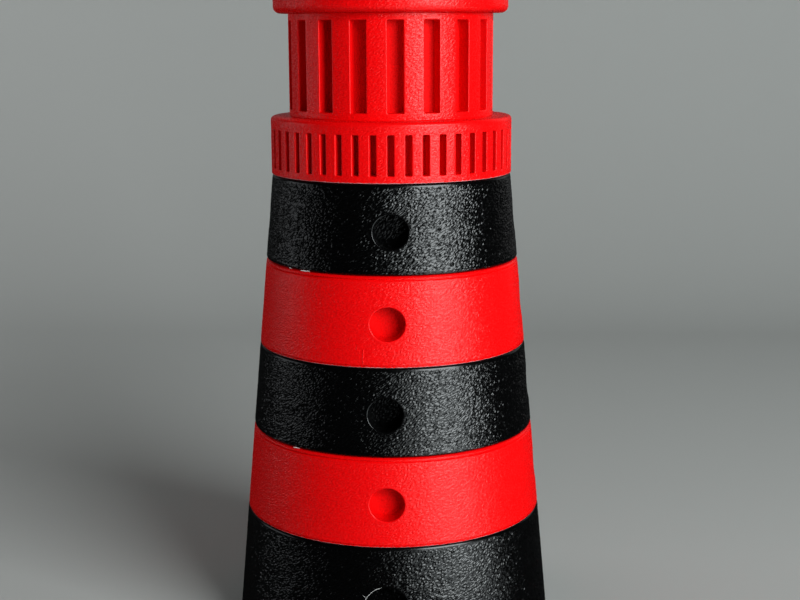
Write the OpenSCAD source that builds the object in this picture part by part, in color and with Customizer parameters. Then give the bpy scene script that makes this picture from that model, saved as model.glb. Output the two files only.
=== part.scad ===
// Model lighthouse of stacked printed rings, in millimetres.
// The foot stands on z = 0 with the tower's axis on Z, and the door faces -Y.

/* [Tower] */
// Diameter of the tower at its foot
foot_d = 189; // [178:1:204]
// Diameter of the tower under the gallery
neck_d = 139; // [128:1:150]
// Height of the base ring
base_h = 70; // [62:1:90]
// Height of each ring above the base ring
ring_h = 50; // [42:1:64]
// Wall thickness of the tower rings
wall = 13; // [12.5:0.5:16]
// Rounding of each ring's upper outer edge
ring_round = 2; // [0.8:0.1:3]
// Rounding of the foot of each ring above the base, lowest first
foot_rounds = [0.5, 1.8, 0.5, 1.8]; // [0.3:0.1:3]
// Broken edge round the foot of the base ring and of the gallery
edge_break = 0.6; // [0.2:0.1:1.2]
// Turn of each ring above the base, lowest first, in degrees
ring_turns = [0.2, -0.4, 0.5, 1.9]; // [-10:0.1:10]

/* [Stacking spigots] */
// Height of the spigot that locates the piece above
spigot_h = 6; // [3:0.5:9]
// Thickness of the spigot
spigot_t = 3; // [2:0.5:4]
// Gap between a spigot and the bore that it locates
spigot_gap = 0.25; // [0.1:0.05:0.4]
// Lead-in chamfer on the spigot's free edge
spigot_lead = 0.8; // [0.3:0.1:1.5]
// Thickness of the flange that carries the spigot
flange_t = 3; // [2:0.5:5]

/* [Windows and door] */
// Diameter of the blind round windows
window_d = 19.5; // [12:0.5:26]
// How far the windows sit below the middle of their ring
window_drop = 1.2; // [0:0.1:3]
// Depth of the blind windows and of the door at their middle
recess_depth = 10; // [5:0.5:10.5]
// Windows around each ring
window_count = 4; // [1:1:6]
// Width of the arched door
door_w = 23; // [16:1:28]
// Height of the door's sill above the foot
door_sill = 5; // [3:0.5:10]
// Wall left above the crown of the door's arch
door_head = 20.5; // [14:0.5:24]

/* [Gallery] */
// Height of the gallery ring
gallery_h = 33; // [26:1:44]
// How far the gallery stands out past the tower's neck
gallery_overhang = 0.5; // [0:0.1:6]
// Thickness of the gallery's deck
deck_t = 4; // [2.5:0.5:6]
// Rounding of the gallery's upper edge
gallery_round = 2.2; // [0.8:0.1:4]
// Upright slots around the gallery
gallery_slots = 45; // [24:1:54]
// Width of a gallery slot
gallery_slot_w = 3.5; // [2:0.1:5]
// Height of the plain band under the gallery slots
gallery_low_band = 4; // [2:0.5:6]
// Height of the plain band over the gallery slots
gallery_top_band = 7; // [5:0.5:10]
// Depth of a gallery slot
gallery_slot_depth = 7.5; // [4:0.5:9]
// Turn of the gallery, in degrees
gallery_turn = 2.2; // [-10:0.1:10]

/* [Lantern room] */
// Width of the deck in front of the lantern room
deck_w = 11; // [8:0.5:14]
// Height of the lantern room
lantern_h = 58; // [44:1:74]
// Wall thickness of the lantern room
lantern_wall = 11; // [10:0.5:13]
// Tall slots around the lantern room
lantern_slots = 18; // [8:1:22]
// Width of a lantern slot
lantern_slot_w = 9; // [5:0.5:11]
// Height of the plain band under the lantern slots
lantern_low_band = 4; // [2:0.5:8]
// Height of the plain band over the lantern slots
lantern_top_band = 4; // [2:0.5:8]
// Depth of a lantern slot
lantern_slot_depth = 8; // [4:0.5:8.5]
// Turn of the lantern room, in degrees
lantern_turn = 4.9; // [-10:0.1:10]

/* [Roof] */
// How far the roof's rim stands out past the lantern room
roof_overhang = 8.5; // [6:0.5:16]
// Height of the roof's rim
rim_h = 12; // [8:1:20]
// Rounding under the rim
rim_round = 4; // [1:0.5:5]
// Rounding on top of the rim
rim_top_round = 2; // [0.5:0.5:3]
// Step from the rim's edge to the dome
dome_step = 5; // [3:0.5:8]
// Rise of the dome above the rim
dome_rise = 34; // [24:1:48]
// Thickness of the dome
dome_t = 4; // [3:0.5:6]

/* [Finial] */
// Diameter of the ball
ball_d = 16; // [12:1:24]
// Diameter of the collar under the ball
collar_d = 18; // [14:1:26]
// Height of the collar
collar_h = 2.5; // [1.5:0.5:5]
// Diameter of the neck between collar and ball
neck_pin_d = 9; // [7:0.5:11]
// Diameter of the peg in the roof
peg_d = 6; // [4:0.5:7]
// Gap round the peg
peg_gap = 0.15; // [0.05:0.05:0.3]

/* [Hidden] */

red = "#d3121a";
black = "#121316";
round_fn = 180;
fillet_steps = 5;
dome_steps = 20;
cut_past = 4;
seat_margin = 1;

rings_above = len(ring_turns);
tower_h = base_h + rings_above * ring_h;
taper = (foot_d - neck_d) / 2 / tower_h;
taper_angle = atan(taper);

gallery_z = tower_h;
deck_z = gallery_z + gallery_h;
roof_z = deck_z + lantern_h;

door_h = base_h - door_sill - door_head;
gallery_slot_h = gallery_h - gallery_low_band - gallery_top_band;
lantern_slot_h = lantern_h - lantern_low_band - lantern_top_band;

gallery_r = neck_d / 2 + gallery_overhang;
lantern_r = gallery_r - deck_w;
lantern_bore = lantern_r - lantern_wall;
roof_r = lantern_r + roof_overhang;

dome_r = roof_r - dome_step;
dome_sphere = (dome_r * dome_r + dome_rise * dome_rise) / (2 * dome_rise);
dome_centre = rim_h + dome_rise - dome_sphere;
seat_r = collar_d / 2 + seat_margin;
seat_z = dome_centre + sqrt(dome_sphere * dome_sphere - seat_r * seat_r);
peg_hole_r = peg_d / 2 + peg_gap;

// Radius of the tower's outer face at a height above the foot
function tower_r(z) = foot_d / 2 - taper * z;

// Height of the foot of a ring, counted from the base ring
function ring_z(i) = i == 0 ? 0 : base_h + (i - 1) * ring_h;

// Points along an arc about [r, z], from one angle to another
function arc(r, z, radius, from, to, steps) = [
    for (i = [0 : steps])
        let (a = from + (to - from) * i / steps)
        [r + radius * cos(a), z + radius * sin(a)]
];

// Free edge of a spigot that stands on z and leans in by lean for each millimetre of height
function spigot_points(outer, inner, z, lean) = [
    [outer, z],
    [outer - lean * (spigot_h - spigot_lead), z + spigot_h - spigot_lead],
    [outer - lean * spigot_h - spigot_lead, z + spigot_h],
    [inner, z + spigot_h]
];

// Broken lower edge, for the base ring
function broken_edge(foot_r) = [
    [foot_r - edge_break, 0],
    [foot_r - taper * edge_break, edge_break]
];

// Rounded lower edge, for the rings above the base ring
function rounded_edge(foot_r, rounding) =
    let (
        round_z = rounding + rounding * sin(taper_angle),
        round_r = foot_r - taper * round_z - rounding * cos(taper_angle)
    )
    arc(round_r, rounding, rounding, -90, taper_angle, fillet_steps);

// Half section of one tower ring: foot, outer face, rounded edge, shoulder, spigot, flange, bore
function ring_profile(foot_r, h, foot_edge) =
    let (
        round_z = h - ring_round + ring_round * sin(taper_angle),
        round_r = foot_r - taper * round_z - ring_round * cos(taper_angle),
        spigot_r = foot_r - taper * h - wall - spigot_gap,
        spigot_bore = spigot_r - taper * spigot_h - spigot_t,
        chamfer_z = (h - flange_t + spigot_bore - foot_r + wall) / (1 - taper)
    )
    concat(
        [[foot_r - wall, 0]],
        foot_edge,
        arc(round_r, h - ring_round, ring_round, taper_angle, 90, fillet_steps),
        spigot_points(spigot_r, spigot_bore, h, taper),
        [
            [spigot_bore, h - flange_t],
            [foot_r - wall - taper * chamfer_z, chamfer_z]
        ]
    );

// Half section of the gallery: bore on the tower's spigot, rounded deck edge, spigot for the lantern
function gallery_profile() =
    let (
        bore = neck_d / 2 - wall,
        spigot_r = lantern_bore - spigot_gap,
        spigot_bore = spigot_r - spigot_t,
        chamfer_z = gallery_h - deck_t - (bore - spigot_bore)
    )
    concat(
        [
            [bore, 0],
            [gallery_r - edge_break, 0],
            [gallery_r, edge_break]
        ],
        arc(gallery_r - gallery_round, gallery_h - gallery_round, gallery_round, 0, 90, fillet_steps),
        spigot_points(spigot_r, spigot_bore, gallery_h, 0),
        [
            [spigot_bore, gallery_h - deck_t],
            [bore, chamfer_z]
        ]
    );

// Half section of the roof: spigot in the lantern room, rounded rim, dome with a flat seat
function roof_profile() =
    let (
        spigot_r = lantern_bore - spigot_gap,
        spigot_bore = spigot_r - spigot_t,
        inner = dome_sphere - dome_t
    )
    concat(
        [
            [spigot_bore, -spigot_h],
            [spigot_r - spigot_lead, -spigot_h],
            [spigot_r, spigot_lead - spigot_h],
            [spigot_r, 0]
        ],
        arc(roof_r - rim_round, rim_round, rim_round, -90, 0, fillet_steps),
        arc(roof_r - rim_top_round, rim_h - rim_top_round, rim_top_round, 0, 90, fillet_steps),
        arc(0, dome_centre, dome_sphere, acos(dome_r / dome_sphere), acos(seat_r / dome_sphere), dome_steps),
        [[peg_hole_r, seat_z]],
        arc(0, dome_centre, inner, acos(peg_hole_r / inner), acos(spigot_bore / inner), dome_steps)
    );

// Half section of the finial: peg, collar, neck and ball
function finial_profile() =
    let (
        ball_r = ball_d / 2,
        neck_r = neck_pin_d / 2,
        neck_z = collar_h + (collar_d / 2 - neck_r) / 2,
        ball_angle = acos(neck_r / ball_r),
        ball_z = neck_z + ball_r * sin(ball_angle)
    )
    concat(
        [
            [0, -dome_t],
            [peg_d / 2, -dome_t],
            [peg_d / 2, 0],
            [collar_d / 2, 0],
            [collar_d / 2, collar_h],
            [neck_r, neck_z]
        ],
        arc(0, ball_z, ball_r, -ball_angle, 90, dome_steps)
    );

// Solid turned from a half section
module turned(points) {
    rotate_extrude($fn = round_fn)
        polygon(points);
}

// Blind round windows, set level into a ring just below half its height
module window_cuts(foot_r, h) {
    window_z = h / 2 - window_drop;
    floor_r = foot_r - taper * window_z - recess_depth;
    for (i = [0 : window_count - 1])
        rotate([0, 0, i * 360 / window_count])
            translate([0, -floor_r, window_z])
                rotate([90, 0, 0])
                    cylinder(d = window_d, h = recess_depth + cut_past, $fn = round_fn);
}

// Outline of the door, standing on its sill
module door_outline() {
    spring = door_h - door_w / 2;
    translate([-door_w / 2, 0])
        square([door_w, spring]);
    translate([0, spring])
        circle(d = door_w, $fn = round_fn);
}

// Blind door whose back leans with the wall
module door_cut() {
    translate([0, recess_depth / cos(taper_angle) - tower_r(door_sill), door_sill])
        rotate([90 - taper_angle, 0, 0])
            linear_extrude(recess_depth + cut_past)
                door_outline();
}

// Ring of upright slots with flat backs
module slot_cuts(radius, count, w, h, z, depth) {
    for (i = [0 : count - 1])
        rotate([0, 0, i * 360 / count])
            translate([-w / 2, -radius - cut_past, z])
                cube([w, depth + cut_past, h]);
}

// Tower ring with its windows, counted from the base ring
module tower_ring(i) {
    foot_r = tower_r(ring_z(i));
    translate([0, 0, ring_z(i)])
        rotate([0, 0, ring_turns[i - 1]])
            difference() {
                turned(ring_profile(foot_r, ring_h, rounded_edge(foot_r, foot_rounds[i - 1])));
                window_cuts(foot_r, ring_h);
            }
}

module base_ring() {
    color(black)
        difference() {
            turned(ring_profile(tower_r(0), base_h, broken_edge(tower_r(0))));
            door_cut();
        }
}

module lower_red_ring() {
    color(red)
        tower_ring(1);
}

module middle_black_ring() {
    color(black)
        tower_ring(2);
}

module upper_red_ring() {
    color(red)
        tower_ring(3);
}

module top_black_ring() {
    color(black)
        tower_ring(4);
}

module gallery_ring() {
    color(red)
        translate([0, 0, gallery_z])
            rotate([0, 0, gallery_turn])
                difference() {
                    turned(gallery_profile());
                    slot_cuts(gallery_r, gallery_slots, gallery_slot_w, gallery_slot_h,
                        gallery_low_band, gallery_slot_depth);
                }
}

module lantern_room() {
    color(red)
        translate([0, 0, deck_z])
            rotate([0, 0, lantern_turn])
                difference() {
                    cylinder(r = lantern_r, h = lantern_h, $fn = round_fn);
                    translate([0, 0, -cut_past])
                        cylinder(r = lantern_bore, h = lantern_h + 2 * cut_past, $fn = round_fn);
                    slot_cuts(lantern_r, lantern_slots, lantern_slot_w, lantern_slot_h,
                        lantern_low_band, lantern_slot_depth);
                }
}

module roof_cap() {
    color(red)
        translate([0, 0, roof_z])
            turned(roof_profile());
}

module finial() {
    color(red)
        translate([0, 0, roof_z + seat_z])
            turned(finial_profile());
}

base_ring();
lower_red_ring();
middle_black_ring();
upper_red_ring();
top_black_ring();
gallery_ring();
lantern_room();
roof_cap();
finial();
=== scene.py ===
"""Dresses the model lighthouse: printed plastic rings with a fuzzy skin, blind windows and slots."""

import math

import bpy
import numpy as np
from mathutils import Matrix, Quaternion, Vector


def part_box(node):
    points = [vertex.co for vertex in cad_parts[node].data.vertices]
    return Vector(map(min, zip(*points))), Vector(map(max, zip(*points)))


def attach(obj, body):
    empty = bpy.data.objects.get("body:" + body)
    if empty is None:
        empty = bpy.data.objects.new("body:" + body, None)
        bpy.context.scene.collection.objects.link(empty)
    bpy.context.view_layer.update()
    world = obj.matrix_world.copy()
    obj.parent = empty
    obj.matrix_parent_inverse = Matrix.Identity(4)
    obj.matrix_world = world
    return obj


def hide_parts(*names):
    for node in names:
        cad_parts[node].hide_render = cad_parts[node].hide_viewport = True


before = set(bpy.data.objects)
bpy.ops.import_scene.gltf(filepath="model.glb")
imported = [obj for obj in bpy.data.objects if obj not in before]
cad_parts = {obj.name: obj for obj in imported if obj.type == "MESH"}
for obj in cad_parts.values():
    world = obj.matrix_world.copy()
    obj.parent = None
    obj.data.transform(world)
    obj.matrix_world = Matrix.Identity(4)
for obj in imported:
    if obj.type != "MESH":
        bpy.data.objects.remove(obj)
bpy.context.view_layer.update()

# Shapes are worked out in millimetres and turned to metres when a mesh is made
MM = 0.001

# Sizes of the tower
FOOT_R = 94.5
NECK_R = 69.5
WALL = 13.0
RING_ROUND = 2.0
FOOT_ROUNDS = {
    "lower_red_ring": 0.5,
    "middle_black_ring": 1.8,
    "upper_red_ring": 0.5,
    "top_black_ring": 1.8,
}
EDGE_BREAK = 0.6
SPIGOT_H = 6.0
SPIGOT_T = 3.0
SPIGOT_GAP = 0.25
SPIGOT_LEAD = 0.8
FLANGE_T = 3.0
RING_TURNS = {
    "lower_red_ring": 0.2,
    "middle_black_ring": -0.4,
    "upper_red_ring": 0.5,
    "top_black_ring": 1.9,
}

# Groove at the foot of the red rings, and hollow under their shoulder
GROOVE_DEPTH = 0.7
GROOVE_H = 0.55
GROOVE_SHARES = (0.1, 0.8)
COVE_H = 1.35
COVE_DEPTH = 1.05
COVE_RISE = 0.4
COVE_SHARES = (0.15, 0.3, 0.45, 0.6, 0.72, 0.84, 0.93, 1.0)
COVE_LEAN = 1.4

# Recesses
WINDOW_R = 9.75
WINDOW_DROP = 1.2
WINDOW_SQUASH = 0.955
WINDOW_COUNT = 4
RECESS_DEPTH = 10.0
DOOR_W = 25.0
DOOR_SILL = 5.0
DOOR_HEAD = 22.8
DOOR_CORNER = 0.5
SLOT_CORNER = 0.35

# Gallery
GALLERY_R = 70.0
GALLERY_ROUND = 2.2
GALLERY_SLOTS = 45
GALLERY_SLOT_W = 3.5
GALLERY_LOW_BAND = 4.0
GALLERY_TOP_BAND = 7.0
GALLERY_SLOT_DEPTH = 7.5
GALLERY_TURN = 2.2
DECK_T = 4.0

# Lantern room, whose edges are given as steps in from its face and from its ends
LANTERN_R = 59.0
LANTERN_WALL = 11.0
LANTERN_SLOTS = 18
LANTERN_SLOT_W = 9.0
LANTERN_BAND = 4.0
LANTERN_SLOT_DEPTH = 8.0
LANTERN_TURN = 4.9
LANTERN_EDGE = ((1.2, 0.0), (0.3, 0.0), (0.05, 0.2))
LANTERN_PLAIN = 2.5
LANTERN_END = 0.5

# Roof
ROOF_R = 67.5
RIM_H = 12.0
RIM_ROUND = 4.0
RIM_TOP_ROUND = 2.0
DOME_STEP = 5.0
DOME_RISE = 34.0
DOME_T = 4.0
SEAT_MARGIN = 1.0

# Finial
COLLAR_D = 18.0
COLLAR_H = 2.5
COLLAR_BREAK = 0.3
COLLAR_TOP = 0.4
COLLAR_TOP_IN = 0.15
COLLAR_TOP_DOWN = 0.1
COLLAR_STEP = 0.6
PEG_D = 6.0
PEG_GAP = 0.15
NECK_PIN_D = 9.0
NECK_STEPS = 8
BALL_D = 16.0
BALL_TOP_ANGLE = 86
BALL_STEPS = 36
FINIAL_COLUMNS = 84

# Printed skin: how far the fuzz stands in and out, how much its points wander, and the mesh that carries it
RED_FUZZ = 0.1
BLACK_FUZZ = 0.16
FUZZ_WANDER = 0.25
FLOOR_SHARE = 0.8
FINIAL_SHARE = 0.55
SKIN_ACROSS = 0.82
SKIN_UP = 0.62
DOME_SKIN = 1.1
DOME_BAND = 0.62

# Where the fuzz fades out: how far from an edge it starts, and over what length it grows
TOP_FADE = 0.8
RIM_FADE = 0.9
FLOOR_PLAIN = 0.3
FLOOR_FADE = 1.0
FOOT_PLAIN_SHARE = 0.15
FOOT_FADE_SHARE = 0.6
ROOF_LOW_PLAIN = 0.4
ROOF_TOP_PLAIN = 0.3
ROOF_FADE = 1.5
CROWN_PLAIN = 0.3
CROWN_FADE = 2.0
COLLAR_PLAIN = 0.4
COLLAR_FADE = 0.8
BALL_PLAIN = 1.0
BALL_FADE = 3.0
FLAT_FROM = 0.5

# Plain surfaces: columns round them, and narrow strips where they meet fuzzy ones
PLAIN_COLUMNS = 160
LIP = 0.8
PLAIN_IN = 1.8
PLAIN_EDGE = 2.0
PLAIN_OUT = 1.5
FOOT_STEPS = 6
BREAK_STEPS = 5
SHOULDER_STEPS = 7
RIM_LOW_STEPS = 10
RIM_TOP_STEPS = 6
VAULT_STEPS = 24

# Rims, walls and backs of recesses
RIM_W = 0.6
RIM_ANGLES = (0, 18, 36, 54, 72, 90)
RIM_STEP = 0.9
WALL_STEP = 1.2
FLOOR_STEP = 0.8
FLOOR_MARGIN = 0.25 + 0.4 * FLOOR_STEP
HOLE_W = RIM_W + 0.2
NEAR_RECESS = 6.0
PATCH_ACROSS = 4.0
PATCH_UP = 3.0
FAR = 1000.0
ROUGH_REACH = 6.0
SMOOTH_SHARES = (0.1, 0.9)
BACK_TUCK = 0.1

# Painted highlight along lower edges, a pale line: its stand, its step along the edge, and the angles that it
# covers
LINE_STAND = 0.04
LINE_STEP = 1.1
LINE_LOW = -84
LINE_HIGH = -20
LINE_UNEVEN = 20
LINE_ROWS = 4

# Flakes on the rounded feet of black rings, by angles round the rounding, and rows of (share of half, stand)
FLAKE_STEP = 0.3
FLAKE_ANGLE = -47
FLAKE_ANGLE_UNEVEN = 5
FLAKE_HALF = 17
FLAKE_HALF_UNEVEN = 4
FLAKE_LIFT = 0.22
FLAKE_ENDS = (0.12, 0.88)
FLAKE_ROWS = ((-1, 0.02), (-0.4, 0.16), (0.4, 0.16), (1, 0.02))

# Strands and scars; the strand along the door's rim also serves as a painted highlight of the rim
STRAND_SIDES = 6
STRAND_FRONT = (0.0, -1.0, 0.1)
STRAND_TIP = 0.35
STRAND_SWELL = 0.4
STRAND_STAND = 0.1
STRAND_START = 168
STRAND_END = 101
STRAND_POINTS = 14
STRAND_AWAY = 0.35
STRAND_UNEVEN = 0.12
STRAND_T = 0.19
HAIR_ROOT = 3
HAIR_POINTS = 4
HAIR_SIDE = 0.5
HAIR_BEND = 0.05
HAIR_UP = 0.75
HAIR_T = 0.13
SCAR_STEP = 0.6
SCAR_WANDER = 0.002


def base_of(node):
    """Height of the foot of a CAD node, in millimetres."""
    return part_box(node)[0].z / MM


GALLERY_Z = base_of("gallery_ring")
LANTERN_Z = base_of("lantern_room")
ROOF_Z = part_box("lantern_room")[1].z / MM
TAPER = (FOOT_R - NECK_R) / GALLERY_Z
TAPER_ANGLE = math.atan(TAPER)
LANTERN_BORE = LANTERN_R - LANTERN_WALL


def tower_r(z):
    """Radius of the tower's outer face at a height."""
    return FOOT_R - TAPER * z


# Noise for the printed skin

def hashed(ix, iy, iz, seed):
    """A number from -1 to 1 for each lattice point."""
    h = ix.astype(np.uint32) * np.uint32(374761393)
    h += iy.astype(np.uint32) * np.uint32(668265263)
    h += iz.astype(np.uint32) * np.uint32(2246822519)
    h += np.uint32(seed * 3266489917 % 2 ** 32)
    h = (h ^ (h >> np.uint32(13))) * np.uint32(1274126177)
    h = (h ^ (h >> np.uint32(16))) * np.uint32(2654435761)
    h ^= h >> np.uint32(15)
    return h.astype(np.float64) / 2147483647.5 - 1.0


def scatter(count, seed, kind):
    """A random number from -1 to 1 for each of a run of mesh points."""
    order = np.arange(count)
    return hashed(order, order * 0 + kind, order * 0, seed)


def fade(x):
    """0 below 0, 1 above 1, smooth between."""
    t = np.clip(x, 0, 1)
    return t * t * (3 - 2 * t)


# Mesh building

class Builder:
    """Collects points and faces in millimetres, then makes a mesh object of them."""

    def __init__(self, fuzz):
        self.fuzz = fuzz
        self.points = np.zeros((0, 3))
        self.faces = []

    def add(self, points):
        """Adds points and returns their numbers."""
        start = len(self.points)
        self.points = np.vstack([self.points, points])
        return np.arange(start, start + len(points))

    def put(self, corners, smooth=True, inner=False):
        """Faces of three or four corners, smooth or flat, on the outside or inside a recess."""
        self.faces.append((np.asarray(corners), smooth, inner))

    def strip(self, a, b, smooth=True, inner=False):
        """Quads between two closed loops of the same length."""
        a2, b2 = np.roll(a, -1), np.roll(b, -1)
        self.put(np.stack([a, a2, b2, b], axis=1), smooth, inner)

    def strips(self, loops, smooth=True, inner=False):
        """Quads along a run of closed loops of the same length."""
        for a, b in zip(loops, loops[1:]):
            self.strip(a, b, smooth, inner)

    def knit(self, a, b, smooth=True, inner=False):
        """Triangles between two closed loops of different lengths that run the same way."""
        pa, pb = self.points[a], self.points[b]
        first = int(np.argmin(((pb - pa[0]) ** 2).sum(1)))
        b, pb = np.roll(b, -first), np.roll(pb, -first, axis=0)
        i = j = 0
        found = []
        while i < len(a) or j < len(b):
            i1, j1 = (i + 1) % len(a), (j + 1) % len(b)
            here_a, here_b = i % len(a), j % len(b)
            along_a = ((pa[i1] - pb[here_b]) ** 2).sum()
            along_b = ((pa[here_a] - pb[j1]) ** 2).sum()
            if j >= len(b) or (i < len(a) and along_a <= along_b):
                found.append((a[here_a], a[i1], b[here_b]))
                i += 1
            else:
                found.append((a[here_a], b[j1], b[here_b]))
                j += 1
        self.put(found, smooth, inner)

    def fan(self, loop, point):
        """Triangles from a closed loop to one point."""
        tip = self.add(np.array([point]))[0]
        self.put(np.stack([loop, np.roll(loop, -1), np.full(len(loop), tip)], axis=1))

    def make(self, name):
        """The mesh object, in metres, without the points that no face uses."""
        corners = np.concatenate([part.ravel() for part, smooth, inner in self.faces])
        used, corners = np.unique(corners, return_inverse=True)
        sides = np.concatenate([np.full(len(part), part.shape[1]) for part, smooth, inner in self.faces])
        smooths = np.concatenate([np.full(len(part), smooth) for part, smooth, inner in self.faces])
        inners = np.concatenate([np.full(len(part), int(inner)) for part, smooth, inner in self.faces])
        starts = np.concatenate([[0], np.cumsum(sides)[:-1]]).astype(np.int32)
        mesh = bpy.data.meshes.new(name)
        mesh.vertices.add(len(used))
        mesh.vertices.foreach_set("co", (self.points[used] * MM).astype(np.float32).ravel())
        mesh.loops.add(len(corners))
        mesh.loops.foreach_set("vertex_index", corners.ravel().astype(np.int32))
        mesh.polygons.add(len(sides))
        mesh.polygons.foreach_set("loop_start", starts)
        mesh.polygons.foreach_set("use_smooth", smooths)
        mesh.polygons.foreach_set("material_index", inners.astype(np.int32))
        mesh.update(calc_edges=True)
        mesh.validate()
        piece = bpy.data.objects.new(name, mesh)
        bpy.context.scene.collection.objects.link(piece)
        return piece


def circle_points(r, z, angles):
    """Points at a radius and height. Angle 0 is the front, and angles grow to the viewer's right."""
    return np.stack([r * np.sin(angles), -r * np.cos(angles), np.full_like(angles, z)], axis=1)


def columns(count):
    """Angles of evenly spaced columns, from the front."""
    return np.arange(count) * 2 * math.pi / count


def steps_between(low, high, step):
    """Even steps from one value to another, of about a given size."""
    return np.linspace(low, high, round((high - low) / step) + 1)


def arc(r, z, radius, start, end, steps):
    """Points of a profile along an arc about (r, z), angles in degrees."""
    angles = np.radians(np.linspace(start, end, steps + 1))
    return [(r + radius * math.cos(a), z + radius * math.sin(a)) for a in angles]


def turned(builder, profile, count):
    """Loops along a profile of (radius, height) points, joined by strips. Returns the first and last loop."""
    loops = [builder.add(circle_points(r, z, columns(count))) for r, z in profile]
    builder.strips(loops)
    return loops[0], loops[-1]


def skin_turned(builder, profile, count, seed, amount):
    """A fuzzy stretch of a turned surface, pushed along its own normal. Returns its first and last loop."""
    line = np.array(profile)
    run = np.gradient(line, axis=0)
    normal = np.stack([run[:, 1], -run[:, 0]], axis=1)
    normal /= np.linalg.norm(normal, axis=1)[:, None]
    angles = columns(count)
    loops = []
    for row, ((r, z), (nr, nz), share) in enumerate(zip(line, normal, amount)):
        points = circle_points(r, z, angles)
        stand = builder.fuzz * share * scatter(count, seed, row)
        points[:, 0] += stand * nr * np.sin(angles)
        points[:, 1] -= stand * nr * np.cos(angles)
        points[:, 2] += stand * nz
        loops.append(builder.add(points))
    for row, (a, b) in enumerate(zip(loops, loops[1:])):
        builder.strip(a, b, smooth=amount[row] + amount[row + 1] <= FLAT_FROM)
    return loops[0], loops[-1]


def quads(grid):
    """The four corners of each cell of a grid of points."""
    return np.stack([grid[:-1, :-1], grid[:-1, 1:], grid[1:, 1:], grid[1:, :-1]], axis=2)


def touched(marks):
    """Cells of a grid that have a marked corner."""
    return marks[:-1, :-1] | marks[1:, :-1] | marks[:-1, 1:] | marks[1:, 1:]


def traced(cells):
    """Grid points (row, column) round the one patch of marked cells, in the order seen from outside."""
    following = {}
    rows, cols = cells.shape

    def marked(j, i):
        return 0 <= j < rows and 0 <= i < cols and cells[j, i]

    for j, i in np.argwhere(cells):
        for beside, start, end in (
            ((j - 1, i), (j, i), (j, i + 1)),
            ((j, i + 1), (j, i + 1), (j + 1, i + 1)),
            ((j + 1, i), (j + 1, i + 1), (j + 1, i)),
            ((j, i - 1), (j + 1, i), (j, i)),
        ):
            if not marked(*beside):
                following[start] = end
    first = next(iter(following))
    path = [first]
    while following[path[-1]] != first:
        path.append(following[path[-1]])
    return path


# Outlines of recesses, in the flat frame of the wall: x to the right, z up

class Round:
    """Round window, a little lower than wide."""

    def __init__(self, z, radius):
        self.z, self.radius = z, radius
        self.reach = radius

    def outside(self, x, z):
        """Distance of points outside the outline, below 0 inside."""
        return np.hypot(x, (z - self.z) / WINDOW_SQUASH) - self.radius

    def outline(self, grow):
        """Points along the outline, grown by a distance."""
        a = columns(round(2 * math.pi * self.radius / RIM_STEP))
        high = self.radius * WINDOW_SQUASH
        return np.stack([(self.radius + grow) * np.cos(a), self.z + (high + grow) * np.sin(a)], axis=1)

    def span(self):
        """Lowest and highest point."""
        return self.z - self.radius, self.z + self.radius


class Slot:
    """Upright slot with tight corners."""

    # Sides of each corner, the angle where its arc starts, and the way the outline goes on after it
    corners = (
        (1, -1, -90, 0, 1),
        (1, 1, 0, -1, 0),
        (-1, 1, 90, 0, -1),
        (-1, -1, 180, 1, 0),
    )

    def __init__(self, low, high, width):
        self.low, self.high, self.half = low, high, width / 2
        self.reach = self.half

    def outside(self, x, z):
        """Distance of points outside the outline, below 0 inside."""
        qx = np.abs(x) - self.half
        qz = np.abs(z - (self.low + self.high) / 2) - (self.high - self.low) / 2
        return np.hypot(np.maximum(qx, 0), np.maximum(qz, 0)) + np.minimum(np.maximum(qx, qz), 0)

    def outline(self, grow):
        """Points along the outline, grown by a distance."""
        across, up = self.half - SLOT_CORNER, (self.high - self.low) / 2 - SLOT_CORNER
        middle = (self.high + self.low) / 2
        corner = SLOT_CORNER + grow
        found = []
        for side_x, side_z, start, way_x, way_z in self.corners:
            for a in np.radians([start, start + 45, start + 90]):
                x = side_x * across + corner * math.cos(a)
                z = middle + side_z * up + corner * math.sin(a)
                found.append((x, z))
            length = 2 * up if way_z else 2 * across
            parts = max(2, round(length / RIM_STEP))
            for k in range(1, parts):
                found.append((x + way_x * length * k / parts, z + way_z * length * k / parts))
        return np.array(found)

    def span(self):
        """Lowest and highest point."""
        return self.low, self.high


class Arch:
    """Door with a half-round head."""

    def __init__(self, low, high, width):
        self.low, self.high, self.half = low, high, width / 2
        self.spring = high - self.half
        self.reach = self.half

    def outside(self, x, z):
        """Distance of points outside the outline, below 0 inside."""
        box = np.maximum(np.abs(x) - self.half, self.low - z)
        head = np.hypot(x, z - self.spring) - self.half
        return np.where(z > self.spring, head, box)

    def outline(self, grow):
        """Points along the outline, grown by a distance."""
        c, h = DOOR_CORNER, self.half
        found = []
        sill = round(2 * (h - c) / RIM_STEP)
        for k in range(sill):
            found.append(((c - h) + 2 * (h - c) * k / sill, self.low - grow))
        for a in np.radians([-90, -45, 0]):
            found.append((h - c + (c + grow) * math.cos(a), self.low + c + (c + grow) * math.sin(a)))
        side = round((self.spring - self.low - c) / RIM_STEP)
        for k in range(1, side):
            found.append((h + grow, self.low + c + (self.spring - self.low - c) * k / side))
        head = round(math.pi * h / RIM_STEP)
        for a in np.arange(head + 1) * math.pi / head:
            found.append(((h + grow) * math.cos(a), self.spring + (h + grow) * math.sin(a)))
        for k in range(1, side):
            found.append((-h - grow, self.spring - (self.spring - self.low - c) * k / side))
        for a in np.radians([180, 225]):
            found.append((c - h + (c + grow) * math.cos(a), self.low + c + (c + grow) * math.sin(a)))
        return np.array(found)

    def span(self):
        """Lowest and highest point."""
        return self.low, self.high


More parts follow.
